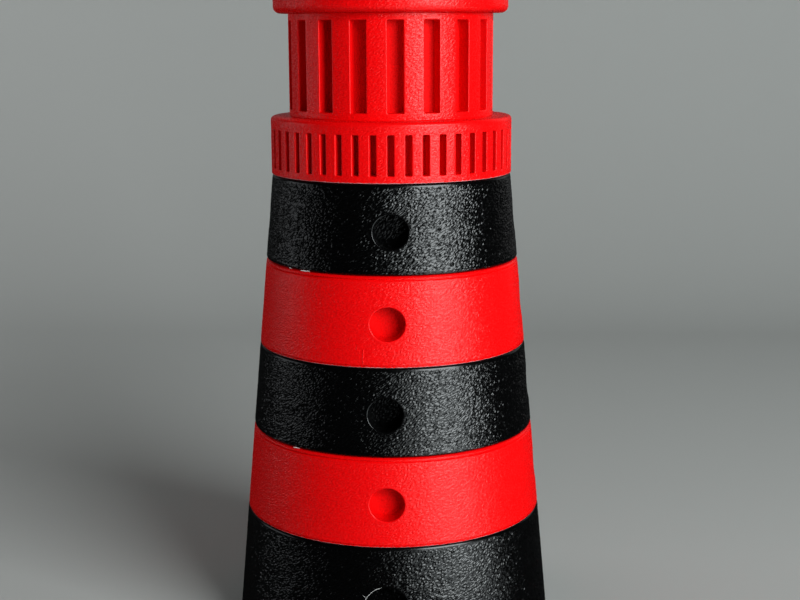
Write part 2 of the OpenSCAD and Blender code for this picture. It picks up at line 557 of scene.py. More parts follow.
class Recess:
    """A blind recess: its outline, where it faces, and the radius of its flat back at a height."""

    def __init__(self, shape, turn, back):
        self.shape, self.turn, self.back = shape, math.radians(turn), back

    def place(self, x, out, z):
        """Points from the recess's own frame: x to its right, out from the axis, z up."""
        c, s = math.cos(self.turn), math.sin(self.turn)
        return np.stack([x * c + out * s, x * s - out * c, z], axis=1)

    def facing(self, angles):
        """Angles from the recess's middle, from half a turn to the left to half a turn to the right."""
        return (angles - self.turn + math.pi) % (2 * math.pi) - math.pi


# Fuzzy walls with recesses

def skin_wall(builder, radius_at, heights, count, seed, recesses):
    """A fuzzy outer wall with recesses cut into it. Returns its lowest and highest loop."""
    angles = columns(count)
    rows = len(heights)
    radii = np.array([radius_at(z) for z in heights])
    theta = np.tile(angles, rows)
    r = np.repeat(radii, count)
    z = np.repeat(heights, count)
    gap = recess_gap(recesses, theta, r, z)
    amount = fade((heights[-1] - z) / TOP_FADE) * fade((gap - RIM_W) / RIM_FADE)
    theta += amount * FUZZ_WANDER * scatter(len(theta), seed, 1) * 2 * math.pi / count
    r += amount * builder.fuzz * scatter(len(theta), seed, 2)
    index = builder.add(circle_points(r, z, theta)).reshape(rows, count)

    around = np.arange(count + 1) % count
    gone = touched((gap < HOLE_W).reshape(rows, count)[:, around])
    builder.put(quads(index[:, around])[~gone], smooth=False)
    for number, recess in enumerate(recesses):
        edge = hole_edge(recess, index, angles, radii, heights)
        fill_recess(builder, recess, radius_at, edge, seed + 10 + number)
    return index[0], index[-1]


def recess_gap(recesses, theta, r, z):
    """How far each point of a wall is outside the nearest recess."""
    gap = np.full(len(theta), FAR)
    for recess in recesses:
        turn = recess.facing(theta)
        near = np.abs(turn) * r < recess.shape.reach + NEAR_RECESS
        x = r[near] * np.sin(turn[near])
        gap[near] = np.minimum(gap[near], recess.shape.outside(x, z[near]))
    return gap


def hole_edge(recess, index, angles, radii, heights):
    """Points of a wall round the hole that is left for a recess."""
    count = len(angles)
    middle = round((recess.turn - angles[0]) / (2 * math.pi) * count)
    reach = round((recess.shape.reach + PATCH_ACROSS) / (2 * math.pi * radii.mean()) * count) + 2
    picked = (np.arange(middle - reach, middle + reach + 1)) % count
    low, high = recess.shape.span()
    band = np.nonzero((heights > low - PATCH_UP) & (heights < high + PATCH_UP))[0]
    x = radii[band][:, None] * np.sin(recess.facing(angles[picked]))[None, :]
    near = recess.shape.outside(x, heights[band][:, None] + 0 * x) < HOLE_W
    return np.array([index[band[j], picked[i]] for j, i in traced(touched(near))])


def fill_recess(builder, recess, radius_at, edge, seed):
    """Rounded rim, walls and flat back of a recess, from the edge of its hole inwards."""
    line = recess.shape.outline(0.0)
    away = recess.shape.outline(1.0) - line

    def loop(grow, sink, share=0.0):
        """The outline grown by a distance, sunk from the wall, and moved a share of the way to the back."""
        flat = line + away * np.broadcast_to(grow, len(line))[:, None]
        r = radius_at(flat[:, 1]) - sink
        out = np.sqrt(r * r - flat[:, 0] ** 2)
        out += (recess.back(flat[:, 1]) - out) * share
        return builder.add(recess.place(flat[:, 0], out, flat[:, 1]))

    rim = [loop(RIM_W * (1 - math.sin(a)), RIM_W * (1 - math.cos(a))) for a in np.radians(RIM_ANGLES)]
    builder.knit(edge, rim[0])
    builder.strips(rim)

    rough = recess.shape.reach > ROUGH_REACH
    deep = float(np.mean(radius_at(line[:, 1]) - recess.back(line[:, 1]))) - RIM_W
    shares = np.linspace(0, 1, round(deep / WALL_STEP) + 1)[1:-1] if rough else SMOOTH_SHARES
    walls = [rim[-1]]
    for k, share in enumerate(shares):
        grow = builder.fuzz * scatter(len(line), seed, 21 + k) if rough else 0.0
        walls.append(loop(grow, RIM_W, share))
    walls.append(loop(-BACK_TUCK, RIM_W, 1.0))
    builder.strips(walls, smooth=not rough, inner=True)
    recess_back(builder, recess, walls[-1], seed)


def recess_back(builder, recess, foot, seed):
    """Flat fuzzy back of a recess, joined to the foot of its walls."""
    shape = recess.shape
    xs = np.linspace(-shape.reach, shape.reach, max(4, round(2 * shape.reach / FLOOR_STEP) + 1))
    x, z = np.meshgrid(xs, steps_between(*shape.span(), FLOOR_STEP))
    inside = -shape.outside(x, z)
    share = fade((inside.ravel() - FLOOR_PLAIN) / FLOOR_FADE)
    stand = FLOOR_SHARE * builder.fuzz * scatter(x.size, seed, 1) * share
    points = recess.place(x.ravel(), recess.back(z.ravel()) + stand, z.ravel())
    index = builder.add(points).reshape(x.shape)
    cells = ~touched(inside <= FLOOR_MARGIN)
    builder.put(quads(index)[cells], smooth=False, inner=True)
    edge = np.array([index[j, i] for j, i in traced(cells)])
    builder.knit(foot, edge, smooth=False, inner=True)


def windows(node, top):
    """The blind windows round a ring, level, just under half its height."""
    middle = (base_of(node) + top) / 2 - WINDOW_DROP
    shape = Round(middle, WINDOW_R)
    back = level(tower_r(middle) - RECESS_DEPTH)
    return [Recess(shape, RING_TURNS[node] + k * 360 / WINDOW_COUNT, back) for k in range(WINDOW_COUNT)]


def door(top):
    """The blind door, whose back leans with the wall."""
    return Recess(Arch(DOOR_SILL, top - DOOR_HEAD, DOOR_W), 0.0, lambda z: tower_r(z) - RECESS_DEPTH)


def slots(count, turn, low, high, width, back):
    """Blind slots round a straight wall, with backs at one radius."""
    return [Recess(Slot(low, high, width), turn + k * 360 / count, level(back)) for k in range(count)]


def level(radius):
    """Radius of a straight wall, at one height or many."""
    return lambda z: radius + 0.0 * z


# Rings of the tower

def spigot_profile(outer, inner, z, lean):
    """Profile of a spigot from its foot up, over its top and to its bore."""
    return [
        (outer, z),
        (outer - lean * (SPIGOT_H - SPIGOT_LEAD), z + SPIGOT_H - SPIGOT_LEAD),
        (outer - lean * SPIGOT_H - SPIGOT_LEAD, z + SPIGOT_H),
        (inner, z + SPIGOT_H),
    ]


def ring_foot(foot, rounding):
    """Lower edge of a ring, from its underside up to the outer face."""
    z = foot + rounding * (1 + math.sin(TAPER_ANGLE))
    r = tower_r(z) - rounding * math.cos(TAPER_ANGLE)
    edge = arc(r, foot + rounding, rounding, -90, math.degrees(TAPER_ANGLE), FOOT_STEPS)
    return [(r - LIP, foot)] + edge


def groove(z):
    """Fine groove in the outer face, from a height up."""
    sunk = [(tower_r(z + GROOVE_H * k) - GROOVE_DEPTH, z + GROOVE_H * k) for k in GROOVE_SHARES]
    return sunk + [(tower_r(z + GROOVE_H), z + GROOVE_H)]


def cove(z):
    """Narrow hollow under a ring's shoulder, from a height up, steepest at its upper edge."""
    found = []
    for share in COVE_SHARES:
        up = z + COVE_H * share
        found.append((tower_r(up) - COVE_DEPTH * math.sin(math.pi * share ** COVE_LEAN), up))
    return found


def rising(profile, foot):
    """Share of fuzz along a lower edge: none at the underside, all of it on the outer face."""
    high = profile[-1][1] - foot
    return [float(fade((z - foot - FOOT_PLAIN_SHARE * high) / (FOOT_FADE_SHARE * high))) for r, z in profile]


def ring_shoulder(builder, top, last, grooved, count):
    """Rounded shoulder of a ring, above its wall's last loop. Returns its inner loop."""
    round_z = top - RING_ROUND + RING_ROUND * math.sin(TAPER_ANGLE)
    round_r = tower_r(round_z) - RING_ROUND * math.cos(TAPER_ANGLE)
    start = TAPER_ANGLE
    if grooved:
        cove_top = round_z + COVE_RISE
        cove_first, cove_last = turned(builder, cove(cove_top - COVE_H), count)
        builder.strip(last, cove_first)
        last = cove_last
        start = math.asin((cove_top - top) / RING_ROUND + 1)
    edge = arc(round_r, top - RING_ROUND, RING_ROUND, math.degrees(start), 90, SHOULDER_STEPS)[1:]
    edge_first, edge_last = turned(builder, edge + [(round_r - LIP, top)], count)
    builder.strip(last, edge_first)
    return edge_last


def ring_inside(builder, foot, top):
    """Top, spigot, bore and underside of a ring. Returns the first and last loop."""
    round_z = top - RING_ROUND + RING_ROUND * math.sin(TAPER_ANGLE)
    round_r = tower_r(round_z) - RING_ROUND * math.cos(TAPER_ANGLE)
    foot_r = tower_r(foot)
    spigot_r = tower_r(top) - WALL - SPIGOT_GAP
    bore = spigot_r - TAPER * SPIGOT_H - SPIGOT_T
    chamfer = (top - foot - FLANGE_T + bore - foot_r + WALL) / (1 - TAPER)
    inner = [(round_r - PLAIN_IN, top)]
    inner += spigot_profile(spigot_r, bore, top, TAPER)
    inner += [(bore, top - FLANGE_T), (foot_r - WALL - TAPER * chamfer, foot + chamfer)]
    inner += [(foot_r - WALL, foot), (foot_r - WALL + PLAIN_OUT, foot)]
    return turned(builder, inner, PLAIN_COLUMNS)


def tower_ring(node, top, recesses, seed):
    """One ring of the tower, from its foot to the spigot that locates the next piece."""
    grooved = "red" in node
    builder = Builder(RED_FUZZ if grooved else BLACK_FUZZ)
    foot = base_of(node)
    count = round(2 * math.pi * tower_r((foot + top) / 2) / SKIN_ACROSS)

    low_edge = ring_foot(foot, FOOT_ROUNDS.get(node, EDGE_BREAK))
    wall_top = top - RING_ROUND + RING_ROUND * math.sin(TAPER_ANGLE)
    if grooved:
        low_edge += groove(low_edge[-1][1])
        wall_top = wall_top + COVE_RISE - COVE_H
    foot_loop, lip = skin_turned(builder, low_edge, count, seed + 5, rising(low_edge, foot))
    heights = steps_between(low_edge[-1][1] + SKIN_UP, wall_top, SKIN_UP)
    first, last = skin_wall(builder, tower_r, heights, count, seed, recesses)
    builder.strip(lip, first)
    edge_last = ring_shoulder(builder, top, last, grooved, count)
    inner_first, inner_last = ring_inside(builder, foot, top)
    builder.knit(edge_last, inner_first)
    builder.knit(inner_last, foot_loop)
    return builder.make(node + "_print")


# Small pieces that are added to the rings

def trim(piece, material):
    """Dresses a small piece that is added to a ring."""
    piece.data.materials.append(material)
    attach(piece, "root")


def painted_edge_highlight(node, r, z, radius, seed):
    """Thin, uneven pale line along a rounded lower edge: a painted highlight, laid as a pale shell just over
    the edge.
    """
    builder = Builder(RED_FUZZ)
    count = round(2 * math.pi * r / LINE_STEP)
    high = LINE_HIGH + LINE_UNEVEN * scatter(count, seed, 1)
    loops = []
    for k in range(LINE_ROWS):
        a = np.radians(LINE_LOW + (high - LINE_LOW) * k / (LINE_ROWS - 1))
        out = r + (radius + LINE_STAND) * np.cos(a)
        up = z + (radius + LINE_STAND) * np.sin(a)
        loops.append(builder.add(circle_points(out, up, columns(count))))
    builder.strips(loops)
    trim(builder.make(node + "_painted_edge_highlight"), EDGE_HIGHLIGHT_PAINT)


def flake(name, node, turn, width, seed):
    """Small pale flake of stray plastic on a ring's rounded foot."""
    builder = Builder(BLACK_FUZZ)
    rounding = FOOT_ROUNDS[node]
    r, z = ring_foot(base_of(node), rounding)[1]
    count = max(6, round(width / FLAKE_STEP))
    angles = math.radians(turn) + np.linspace(-0.5, 0.5, count) * width / (r + rounding)
    swell = np.sin(np.linspace(*FLAKE_ENDS, count) * math.pi)
    middle = FLAKE_ANGLE + FLAKE_ANGLE_UNEVEN * scatter(count, seed, 1)
    half = FLAKE_HALF * swell + FLAKE_HALF_UNEVEN * scatter(count, seed, 2)
    lift = FLAKE_LIFT * width * np.linspace(1, 0, count)
    rows = []
    for across, stand in FLAKE_ROWS:
        a = np.radians(middle + across * half)
        out = r + lift + (rounding + BLACK_FUZZ + stand) * np.cos(a)
        up = z + rounding + (rounding + BLACK_FUZZ + stand) * np.sin(a)
        rows.append(builder.add(circle_points(out, up, angles)))
    for a, b in zip(rows, rows[1:]):
        builder.put(np.stack([a[:-1], a[1:], b[1:], b[:-1]], axis=1), smooth=False)
    trim(builder.make(name), WHITE)


def strand(name, path, thickness, material):
    """Fine strand of plastic along a path of points, closed at both ends."""
    builder = Builder(0.0)
    path = np.array(path)
    along = np.gradient(path, axis=0)
    along /= np.linalg.norm(along, axis=1)[:, None]
    side = np.cross(along, STRAND_FRONT)
    side /= np.linalg.norm(side, axis=1)[:, None]
    front = np.cross(side, along)
    ends = np.minimum(np.arange(len(path)), np.arange(len(path))[::-1])
    radius = thickness / 2 * np.clip(STRAND_TIP + STRAND_SWELL * ends, 0, 1)[:, None]
    lines = [
        builder.add(path + radius * (side * math.cos(a) + front * math.sin(a)))
        for a in columns(STRAND_SIDES)
    ]
    loops = np.stack(lines, axis=1)
    builder.strips(loops)
    builder.fan(loops[0][::-1], path[0])
    builder.fan(loops[-1], path[-1])
    trim(builder.make(name), material)


def door_strand(name, points, thickness):
    """Strand on the wall beside the door, given by (right, height) points."""
    x, z = np.array(points).T
    r = tower_r(z) + STRAND_STAND
    strand(name, np.stack([x, -np.sqrt(r * r - x * x), z], axis=1), thickness, WHITE)


def door_strands(top, seed):
    """A pale strand along the arch's rim, partly a stray strand and partly a painted highlight of the rim,
    with a short hair at its foot.
    """
    half = DOOR_W / 2
    spring = top - DOOR_HEAD - half
    turns = np.radians(np.linspace(STRAND_START, STRAND_END, STRAND_POINTS))
    reach = half + STRAND_AWAY + STRAND_UNEVEN * scatter(STRAND_POINTS, seed, 1)
    arch = list(zip(reach * np.cos(turns), spring + reach * np.sin(turns)))
    # Pale strand on the arch's upper rim: partly stray plastic, partly a painted rim highlight
    door_strand("base_ring_strand_and_rim_highlight", arch, STRAND_T)
    x, z = arch[HAIR_ROOT]
    hair = [(x - HAIR_SIDE * k - HAIR_BEND * k * k, z + HAIR_UP * k) for k in range(HAIR_POINTS)]
    door_strand("base_ring_hair", hair, HAIR_T)


def scar(name, turn, low, high, thickness, seed):
    """Fine upright scar on a red ring, where the print started a new layer."""
    count = round((high - low) / SCAR_STEP)
    z = np.linspace(low, high, count)
    a = math.radians(turn) + SCAR_WANDER * scatter(count, seed, 1)
    strand(name, circle_points(tower_r(z), z, a), thickness, RED)


# Gallery, lantern room, roof and finial

def gallery(seed):
    """The slotted gallery ring, with its deck and the spigot for the lantern room."""
    builder = Builder(RED_FUZZ)
    top = LANTERN_Z
    spigot_r = LANTERN_BORE - SPIGOT_GAP
    spigot_bore = spigot_r - SPIGOT_T
    bore = NECK_R - WALL
    count = round(2 * math.pi * GALLERY_R / SKIN_ACROSS)
    low_edge = [(GALLERY_R - EDGE_BREAK - LIP, GALLERY_Z)]
    low_edge += arc(GALLERY_R - EDGE_BREAK, GALLERY_Z + EDGE_BREAK, EDGE_BREAK, -90, 0, BREAK_STEPS)
    foot_loop, lip = skin_turned(builder, low_edge, count, seed + 5, rising(low_edge, GALLERY_Z))
    cuts = slots(
        GALLERY_SLOTS, GALLERY_TURN, GALLERY_Z + GALLERY_LOW_BAND, top - GALLERY_TOP_BAND,
        GALLERY_SLOT_W, GALLERY_R - GALLERY_SLOT_DEPTH,
    )
    heights = steps_between(GALLERY_Z + EDGE_BREAK + SKIN_UP, top - GALLERY_ROUND, SKIN_UP)
    first, last = skin_wall(builder, level(GALLERY_R), heights, count, seed, cuts)
    builder.strip(lip, first)
    edge_r = GALLERY_R - GALLERY_ROUND
    edge = arc(edge_r, top - GALLERY_ROUND, GALLERY_ROUND, 0, 90, SHOULDER_STEPS)[1:]
    edge_first, edge_last = turned(builder, edge + [(edge_r - LIP, top)], count)
    builder.strip(last, edge_first)
    inner = [(edge_r - PLAIN_EDGE, top)]
    inner += spigot_profile(spigot_r, spigot_bore, top, 0)
    inner += [(spigot_bore, top - DECK_T), (bore, top - DECK_T - (bore - spigot_bore))]
    inner += [(bore, GALLERY_Z), (bore + PLAIN_OUT, GALLERY_Z)]
    inner_first, inner_last = turned(builder, inner, PLAIN_COLUMNS)
    builder.knit(edge_last, inner_first)
    builder.knit(inner_last, foot_loop)
    return builder.make("gallery_ring_print")


def lantern(seed):
    """The lantern room, a drum with tall slots."""
    builder = Builder(RED_FUZZ)
    count = round(2 * math.pi * LANTERN_R / SKIN_ACROSS)
    cuts = slots(
        LANTERN_SLOTS, LANTERN_TURN, LANTERN_Z + LANTERN_BAND, ROOF_Z - LANTERN_BAND,
        LANTERN_SLOT_W, LANTERN_R - LANTERN_SLOT_DEPTH,
    )
    low_edge = [(LANTERN_R - inward, LANTERN_Z + up) for inward, up in LANTERN_EDGE]
    foot_loop, lip = turned(builder, low_edge, count)
    heights = steps_between(LANTERN_Z + LANTERN_END, ROOF_Z - LANTERN_END, SKIN_UP)
    first, last = skin_wall(builder, level(LANTERN_R), heights, count, seed, cuts)
    builder.strip(lip, first)
    top_edge = [(LANTERN_R - inward, ROOF_Z - down) for inward, down in reversed(LANTERN_EDGE)]
    edge_first, edge_last = turned(builder, top_edge, count)
    builder.strip(last, edge_first)
    inner = [(LANTERN_R - LANTERN_PLAIN, ROOF_Z), (LANTERN_BORE, ROOF_Z)]
    inner += [(LANTERN_BORE, LANTERN_Z), (LANTERN_R - LANTERN_PLAIN, LANTERN_Z)]
    inner_first, inner_last = turned(builder, inner, PLAIN_COLUMNS)
    builder.knit(edge_last, inner_first)
    builder.knit(inner_last, foot_loop)
    return builder.make("lantern_room_print")


def roof_seat():
    """Radius of the dome's sphere, height of its centre, and radius and height of the finial's seat."""
    dome_r = ROOF_R - DOME_STEP
    sphere = (dome_r ** 2 + DOME_RISE ** 2) / (2 * DOME_RISE)
    centre = ROOF_Z + RIM_H + DOME_RISE - sphere
    seat_r = COLLAR_D / 2 + SEAT_MARGIN
    return sphere, centre, seat_r, centre + math.sqrt(sphere ** 2 - seat_r ** 2)


def roof_rim(builder, seed):
    """Rounded rim of the roof, up to the foot of the dome. Returns its first and last loop."""
    top = ROOF_Z + RIM_H
    rim = arc(ROOF_R - RIM_ROUND, ROOF_Z + RIM_ROUND, RIM_ROUND, -90, 0, RIM_LOW_STEPS)
    rim += [(ROOF_R, z) for z in steps_between(ROOF_Z + RIM_ROUND, top - RIM_TOP_ROUND, SKIN_UP)[1:]]
    rim += arc(ROOF_R - RIM_TOP_ROUND, top - RIM_TOP_ROUND, RIM_TOP_ROUND, 0, 90, RIM_TOP_STEPS)[1:]
    rim += [(ROOF_R - DOME_STEP + PLAIN_OUT, top)]
    amount = []
    for r, z in rim:
        from_below = float(fade((z - ROOF_Z - ROOF_LOW_PLAIN) / ROOF_FADE))
        from_above = float(fade((top - ROOF_TOP_PLAIN - z) / ROOF_FADE))
        amount.append(from_below * from_above)
    return skin_turned(builder, rim, round(2 * math.pi * ROOF_R / SKIN_ACROSS), seed, amount)


def dome(builder, below, seed):
    """Fuzzy dome above a loop, in bands with fewer columns towards the crown. Returns its highest loop."""
    sphere, centre, seat_r, seat_z = roof_seat()
    low = math.degrees(math.acos((ROOF_R - DOME_STEP) / sphere))
    high = math.degrees(math.acos(seat_r / sphere))
    steps = round(math.radians(high - low) * sphere / DOME_SKIN)
    line = arc(0, centre, sphere, low, high, steps)
    last = below
    start = 0
    while start < len(line) - 1:
        here = line[start][0]
        end = start + 1
        while end < len(line) - 1 and line[end][0] > here * DOME_BAND:
            end += 1
        band = line[start + 1:end + 1] if start else line[:end + 1]
        amount = [float(fade((r - seat_r - CROWN_PLAIN) / CROWN_FADE)) for r, z in band]
        count = round(2 * math.pi * here / DOME_SKIN)
        band_first, band_last = skin_turned(builder, band, count, seed, amount)
        builder.knit(last, band_first)
        last = band_last
        start = end
    return last


def roof(seed):
    """The roof cap: spigot, rim, dome and the vault inside."""
    builder = Builder(RED_FUZZ)
    sphere, centre, seat_r, seat_z = roof_seat()
    spigot_r = LANTERN_BORE - SPIGOT_GAP
    bore = spigot_r - SPIGOT_T
    hole = PEG_D / 2 + PEG_GAP
    under = [
        (bore, ROOF_Z - SPIGOT_H),
        (spigot_r - SPIGOT_LEAD, ROOF_Z - SPIGOT_H),
        (spigot_r, ROOF_Z - SPIGOT_H + SPIGOT_LEAD),
        (spigot_r, ROOF_Z),
        (ROOF_R - RIM_ROUND - PLAIN_EDGE, ROOF_Z),
    ]
    under_first, under_last = turned(builder, under, PLAIN_COLUMNS)
    rim_first, rim_last = roof_rim(builder, seed)
    builder.knit(under_last, rim_first)
    last = dome(builder, rim_last, seed + 2)

    vault = sphere - DOME_T
    crown_angle = math.degrees(math.acos(hole / vault))
    foot_angle = math.degrees(math.acos(bore / vault))
    inner = [(seat_r - LIP, seat_z), (hole, seat_z)]
    inner += arc(0, centre, vault, crown_angle, foot_angle, VAULT_STEPS)
    inner_first, inner_last = turned(builder, inner, PLAIN_COLUMNS)
    builder.knit(last, inner_first)
    builder.strip(inner_last, under_first)
    return builder.make("roof_cap_print")


def finial(seed):
    """The finial: peg, collar, neck and ball."""
    builder = Builder(RED_FUZZ)
    seat_z = roof_seat()[3]
    collar_r, neck_r, ball_r = COLLAR_D / 2, NECK_PIN_D / 2, BALL_D / 2
    collar_z = seat_z + COLLAR_H
    neck_z = collar_z + (collar_r - neck_r) / 2
    ball_angle = math.degrees(math.acos(neck_r / ball_r))
    ball_z = neck_z + ball_r * math.sin(math.radians(ball_angle))
    profile = [(PEG_D / 2, seat_z - DOME_T), (PEG_D / 2, seat_z)]
    profile += [(collar_r - COLLAR_BREAK, seat_z), (collar_r, seat_z + COLLAR_BREAK)]
    face = steps_between(seat_z + COLLAR_BREAK, collar_z - COLLAR_TOP, COLLAR_STEP)
    profile += [(collar_r, z) for z in face[1:]]
    profile += [(collar_r - COLLAR_TOP_IN, collar_z - COLLAR_TOP_DOWN)]
    for k in range(1, NECK_STEPS):
        r = collar_r + (neck_r - collar_r) * k / NECK_STEPS
        profile.append((r, collar_z + (neck_z - seat_z - COLLAR_H) * k / NECK_STEPS))
    profile += arc(0, ball_z, ball_r, -ball_angle, BALL_TOP_ANGLE, BALL_STEPS)
    amount = []
    for r, z in profile:
        above_seat = float(fade((z - seat_z - COLLAR_PLAIN) / COLLAR_FADE))
        amount.append(FINIAL_SHARE * above_seat * float(fade((r - BALL_PLAIN) / BALL_FADE)))
    first, last = skin_turned(builder, profile, FINIAL_COLUMNS, seed, amount)
    builder.fan(last, (0, 0, ball_z + ball_r))
    builder.fan(first[::-1], (0, 0, seat_z - DOME_T))
    return builder.make("finial_print")


# Materials

# Sizes of the noise for shade, gloss and bump, as scale and detail, and where the two shades lie on it
SHADE_NOISE = (700.0, 3.0)
GLOSS_NOISE = (1100.0, 2.0)
BUMP_NOISE = (5500.0, 1.0)
DARK_AT = 0.25
FULL_AT = 0.7


def plastic(name, colour, dark, roughness, spread, shine, grain):
    """Printed plastic: slight shade and gloss changes from filament and layers, with a fine bump."""
    material = bpy.data.materials.new(name)
    material.use_nodes = True
    nodes, links = material.node_tree.nodes, material.node_tree.links
    shader = nodes["Principled BSDF"]
    shader.inputs["Specular IOR Level"].default_value = shine
    place = nodes.new("ShaderNodeTexCoord")

    def noise(scale, detail):
        texture = nodes.new("ShaderNodeTexNoise")
        texture.inputs["Scale"].default_value = scale
        texture.inputs["Detail"].default_value = detail
        links.new(place.outputs["Object"], texture.inputs["Vector"])
        return texture.outputs["Fac"]

    shade = nodes.new("ShaderNodeValToRGB")
    shade.color_ramp.elements[0].position = DARK_AT
    shade.color_ramp.elements[0].color = (*dark, 1)
    shade.color_ramp.elements[1].position = FULL_AT
    shade.color_ramp.elements[1].color = (*colour, 1)
    links.new(noise(*SHADE_NOISE), shade.inputs["Fac"])
    links.new(shade.outputs["Color"], shader.inputs["Base Color"])

    gloss = nodes.new("ShaderNodeMapRange")
    gloss.inputs["To Min"].default_value = roughness - spread
    gloss.inputs["To Max"].default_value = roughness + spread
    links.new(noise(*GLOSS_NOISE), gloss.inputs["Value"])
    links.new(gloss.outputs["Result"], shader.inputs["Roughness"])

    bump = nodes.new("ShaderNodeBump")
    bump.inputs["Distance"].default_value = grain
    links.new(noise(*BUMP_NOISE), bump.inputs["Height"])
    links.new(bump.outputs["Normal"], shader.inputs["Normal"])
    return material


RED = plastic(
    "red_plastic", (0.88, 0.002, 0.003), (0.76, 0.001, 0.0015),
    roughness=0.27, spread=0.04, shine=0.18, grain=0.00004,
)
# Pale pink painted along the red lower edges as a highlight
EDGE_HIGHLIGHT_PAINT = plastic(
    "painted_highlight_colour", (0.85, 0.34, 0.36), (0.6, 0.14, 0.15),
    roughness=0.3, spread=0.04, shine=0.36, grain=0.00003,
)
# Pale plastic for stray flakes and strands; along the door's rim it is also a painted highlight
WHITE = plastic(
    "stray_plastic_and_rim_highlight", (0.92, 0.9, 0.87), (0.7, 0.68, 0.66),
    roughness=0.4, spread=0.05, shine=0.4, grain=0.00002,
)
BLACK = plastic(
    "black_plastic", (0.0008, 0.0008, 0.0009), (0.0004, 0.0004, 0.0004),
    roughness=0.19, spread=0.04, shine=0.34, grain=0.00001,
)
# Red for the walls and backs of recesses: its colour is darker than RED as painted shade, and it is rougher
# with less shine
RED_INSIDE_SHADED = plastic(
    "red_plastic_inside_painted_shade", (0.79, 0.0016, 0.0025), (0.68, 0.001, 0.0012),
    roughness=0.6, spread=0.05, shine=0.05, grain=0.00004,
)
BLACK_INSIDE = plastic(
    "black_plastic_inside", (0.0008, 0.0008, 0.0009), (0.0004, 0.0004, 0.0004),
    roughness=0.22, spread=0.04, shine=0.09, grain=0.00002,
)


def dress(piece, node, material, inside):
    """Gives a piece its two materials and puts it in the place of a CAD node."""
    piece.data.materials.append(material)
    piece.data.materials.append(inside)
    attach(piece, "root")
    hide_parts(node)


# The stack, from the foot up
TOPS = {
    "base_ring": base_of("lower_red_ring"),
    "lower_red_ring": base_of("middle_black_ring"),
    "middle_black_ring": base_of("upper_red_ring"),
    "upper_red_ring": base_of("top_black_ring"),
    "top_black_ring": GALLERY_Z,
}
for order, (node, top) in enumerate(TOPS.items()):
    cuts = windows(node, top) if node in RING_TURNS else [door(top)]
    ring = tower_ring(node, top, cuts, 100 * (order + 1))
    if "red" in node:
        dress(ring, node, RED, RED_INSIDE_SHADED)
        rounding = FOOT_ROUNDS[node]
        corner = ring_foot(base_of(node), rounding)[1]
        # Painted highlight along the ring's lower edge
        painted_edge_highlight(node, corner[0], corner[1] + rounding, rounding, 100 * order + 60)
    else:
        dress(ring, node, BLACK, BLACK_INSIDE)
flake("top_black_ring_short_flake", "top_black_ring", turn=-48, width=1.7, seed=31)
flake("top_black_ring_long_flake", "top_black_ring", turn=-38, width=6.0, seed=33)
flake("middle_black_ring_flake", "middle_black_ring", turn=-38.2, width=4.2, seed=35)
door_strands(TOPS["base_ring"], seed=41)
scar("upper_red_ring_long_scar", turn=-9.4, low=171.4, high=180.0, thickness=0.55, seed=51)
scar("upper_red_ring_short_scar", turn=-12.0, low=178.4, high=182.0, thickness=0.5, seed=53)
dress(gallery(700), "gallery_ring", RED, RED_INSIDE_SHADED)
# Painted highlight along the gallery's lower edge
painted_edge_highlight("gallery_ring", GALLERY_R - EDGE_BREAK, GALLERY_Z + EDGE_BREAK, EDGE_BREAK, 760)
dress(lantern(800), "lantern_room", RED, RED_INSIDE_SHADED)
dress(roof(900), "roof_cap", RED, RED_INSIDE_SHADED)
dress(finial(950), "finial", RED, RED_INSIDE_SHADED)


# Stage: pale floor and backdrop, soft lamps and the camera, in metres
VIEW_TURN = 2.2
CAMERA_SIDE = 0.0047
CAMERA_BACK = 0.823
CAMERA_ABOVE_GALLERY = 0.0827
CAMERA_PITCH = 11.0
CAMERA_ROLL = -0.25
CAMERA_LENS = 63.0
SENSOR_W = 36.0
STAGE_HALF = 4.0
STAGE_FRONT = -4.0
STAGE_BACK = 1.6
STAGE_BEND = 0.8
STAGE_H = 4.0
BEND_POINTS = 24
FLOOR_FACES = 13
STAGE_COLOUR = (0.5, 0.5, 0.48)
STAGE_BOUNCED = (0.42, 0.43, 0.425)
FLOOR_REFLECTED = (0.03, 0.03, 0.03)
WALL_REFLECTED = (0.14, 0.14, 0.14)
LAMP_AIM = 0.22
KEY_TURN = 39
SHEEN_Z = 0.006
WORLD_COLOUR = (0.85, 0.9, 0.92)
WORLD_STRENGTH = 0.004
PAST_BACKDROP = (0.32, 0.32, 0.31)


def stage_material(name, colour, bounced, reflected):
    """Matt surface with its own colour, and darker ones for bounced light and mirror reflections."""
    material = bpy.data.materials.new(name)
    material.use_nodes = True
    nodes, links = material.node_tree.nodes, material.node_tree.links
    nodes.remove(nodes["Principled BSDF"])
    path = nodes.new("ShaderNodeLightPath")

    def matt(shade):
        surface = nodes.new("ShaderNodeBsdfDiffuse")
        surface.inputs["Color"].default_value = (*shade, 1)
        return surface.outputs["BSDF"]

    def pick(ray, plain, special):
        mix = nodes.new("ShaderNodeMixShader")
        links.new(path.outputs[ray], mix.inputs["Fac"])
        links.new(plain, mix.inputs[1])
        links.new(special, mix.inputs[2])
        return mix.outputs["Shader"]

    unseen = pick("Is Glossy Ray", matt(bounced), matt(reflected))
    seen = pick("Is Camera Ray", unseen, matt(colour))
    links.new(seen, nodes["Material Output"].inputs["Surface"])
    return material


